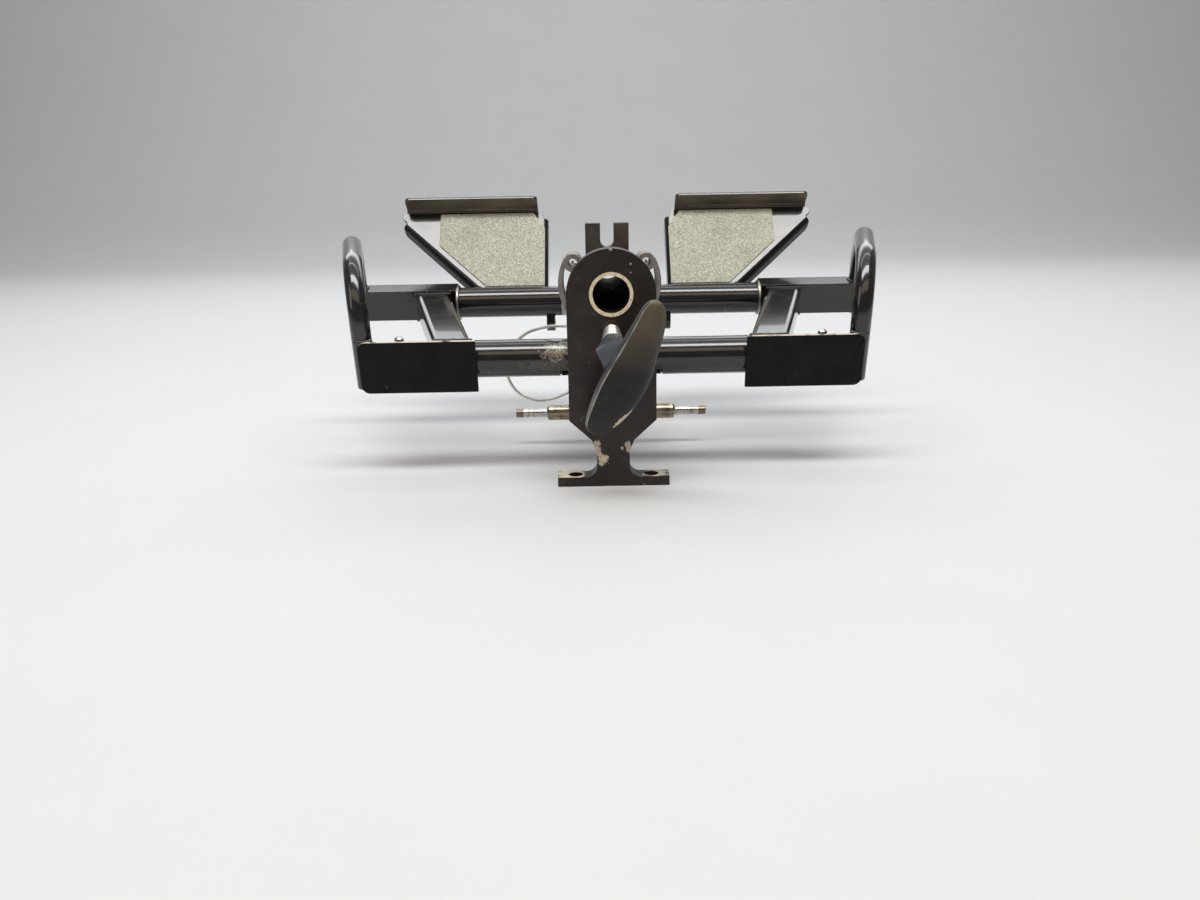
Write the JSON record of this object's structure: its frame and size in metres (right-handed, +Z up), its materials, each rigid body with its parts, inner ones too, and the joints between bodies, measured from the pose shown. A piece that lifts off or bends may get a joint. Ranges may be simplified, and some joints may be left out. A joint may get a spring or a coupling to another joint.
{
  "type": "aircraft rudder pedals",
  "caption": "Adjustable rudder pedals: a sled on a tube between floor brackets carries swinging pedals with toe-brake plates, a linkage spindle and a T-handle that draws the sled's lock.",
  "frame": {"origin": "middle of the rear foot's bolt holes, on its underside", "axes": "+X across to the right, +Y forward from the pilot along the sled tube, +Z up"},
  "size_m": [0.3786, 0.2577, 0.1708],
  "materials": {
    "frame_paint": "gloss black paint, worn at edges",
    "bracket_paint": "brown-black paint, bare at edges",
    "bare_steel": "bare steel",
    "plated_steel": "yellow plated steel",
    "bronze": "aged bronze",
    "slide_plastic": "filled nylon",
    "grip_plastic": "black plastic, worn edges",
    "grit_sheet": "grit anti-slip sheet"
  },
  "bodies": {
    "mount": {"rear_bracket": "bracket_paint", "front_bracket": "bracket_paint", "sled_tube": "bracket_paint", "tube_grub_screws": "bare_steel", "cable_gland": "bronze", "release_cable": "bare_steel"},
    "sled": {"sled_housing": "frame_paint", "rear_slide_bush": "slide_plastic", "front_slide_bush": "slide_plastic", "pivot_axle": "bare_steel", "axle_cross_pin": "bare_steel", "linkage_spindle": "bronze", "spring_clip_left": "plated_steel", "spring_clip_right": "plated_steel", "clip_screws": "bare_steel", "retaining_wire": "bare_steel", "plunger_spring": "bare_steel", "plunger_cap": "bare_steel"},
    "lock": {"lock_plunger": "bare_steel", "cable_clamp": "bare_steel"},
    "handle": {"handle_grip": "grip_plastic", "handle_ferrule": "bare_steel"},
    "left_pedal": {"pivot_tube_left": "frame_paint", "heel_plate_left": "frame_paint", "hoop_left": "frame_paint", "arm_left": "frame_paint", "back_bar_left": "frame_paint", "brake_axle_left": "bare_steel", "inner_pivot_bush_left": "bronze", "outer_pivot_bush_left": "bronze", "retaining_screw_left": "bare_steel", "brake_washer_left": "bare_steel", "stop_collar_left": "bare_steel"},
    "left_brake": {"brake_tube_left": "frame_paint", "brake_plate_left": "frame_paint", "grip_pad_left": "grit_sheet", "brake_lever_left": "frame_paint", "brake_bushes_left": "bronze"},
    "right_pedal": {"pivot_tube_right": "frame_paint", "heel_plate_right": "frame_paint", "hoop_right": "frame_paint", "arm_right": "frame_paint", "back_bar_right": "frame_paint", "brake_axle_right": "bare_steel", "inner_pivot_bush_right": "bronze", "outer_pivot_bush_right": "bronze", "retaining_screw_right": "bare_steel", "brake_washer_right": "bare_steel", "stop_collar_right": "bare_steel"},
    "right_brake": {"brake_tube_right": "frame_paint", "brake_plate_right": "frame_paint", "grip_pad_right": "grit_sheet", "brake_lever_right": "frame_paint", "brake_bushes_right": "bronze"}
  },
  "joints": [
    {"name": "sled_slide", "type": "slide", "parent": "mount", "child": "sled", "axis": [0, 1, 0], "range_m": [0, 0.07], "deforming": ["release_cable"]},
    {"name": "handle_pull", "type": "slide", "parent": "mount", "child": "handle", "axis": [0, -1, 0], "range_m": [0, 0.012], "stiffness_N_per_m": 300, "springref_m": -0.008, "deforming": ["release_cable"]},
    {"name": "lock_slide", "type": "slide", "parent": "sled", "child": "lock", "axis": [0, 0, -1], "range_m": [0, 0.009], "stiffness_N_per_m": 600, "springref_m": -0.008, "deforming": ["plunger_spring", "release_cable"]},
    {"name": "left_pedal_swing", "type": "hinge", "parent": "sled", "child": "left_pedal", "pos_m": [-0.09, 0.0385, 0.073], "axis": [1, 0, 0], "range_deg": [0, 40]},
    {"name": "left_brake_swing", "type": "hinge", "parent": "left_pedal", "child": "left_brake", "pos_m": [-0.072, 0.13951, 0.09619], "axis": [1, 0, 0], "range_deg": [0, 25]},
    {"name": "right_pedal_swing", "type": "hinge", "parent": "sled", "child": "right_pedal", "pos_m": [0.09, 0.0385, 0.073], "axis": [1, 0, 0], "range_deg": [0, 40]},
    {"name": "right_brake_swing", "type": "hinge", "parent": "right_pedal", "child": "right_brake", "pos_m": [0.072, 0.13951, 0.09619], "axis": [1, 0, 0], "range_deg": [0, 25]}
  ],
  "couplings": [
    {"joint": "lock_slide", "follows": "handle_pull", "ratio": 0.75}
  ]
}
